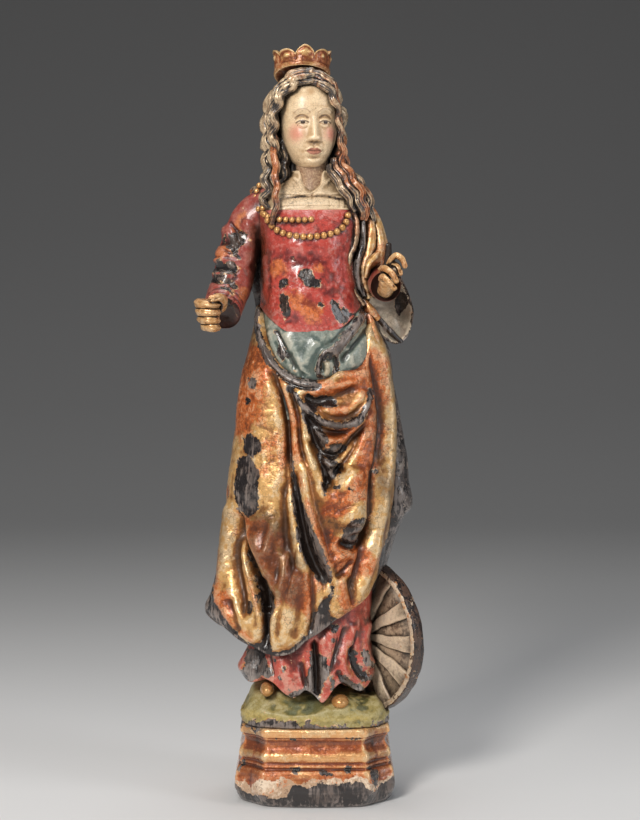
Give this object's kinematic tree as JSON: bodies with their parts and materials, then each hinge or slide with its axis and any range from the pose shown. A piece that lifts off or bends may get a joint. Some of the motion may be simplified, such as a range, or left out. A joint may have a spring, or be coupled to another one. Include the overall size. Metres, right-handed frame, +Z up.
{
  "type": "carved wooden saint statue",
  "caption": "Painted and gilded wooden figure of a crowned saint in gown and mantle, with a spoked wheel at her side, on its own moulded plinth.",
  "frame": {"origin": "middle of the plinth's underside, on the surface it stands on", "axes": "+Z up, the figure faces -Y, her right hand is towards -X and the wheel towards +X"},
  "size_m": [0.1422, 0.1122, 0.4792],
  "materials": {
    "painted_wood": "worn gilding and red paint over gesso, with bare dark wood where it is lost",
    "gilded_plinth": "rubbed gold over orange-red bole, cream gesso and dark wood at the foot",
    "gilded_mantle": "burnished gold rubbed through to bole",
    "red_gown": "red glaze, crazed and chipped",
    "flesh_paint": "satin flesh paint with fine crazing",
    "gilded_hair": "worn gold over pale gesso, dark in the hollows",
    "green_ground": "thick green paint with chips",
    "weathered_wheel": "grey-brown paint, worn to wood at the rim"
  },
  "bodies": {
    "root": {"saint_figure": "painted_wood", "plinth": "gilded_plinth"}
  },
  "joints": []
}
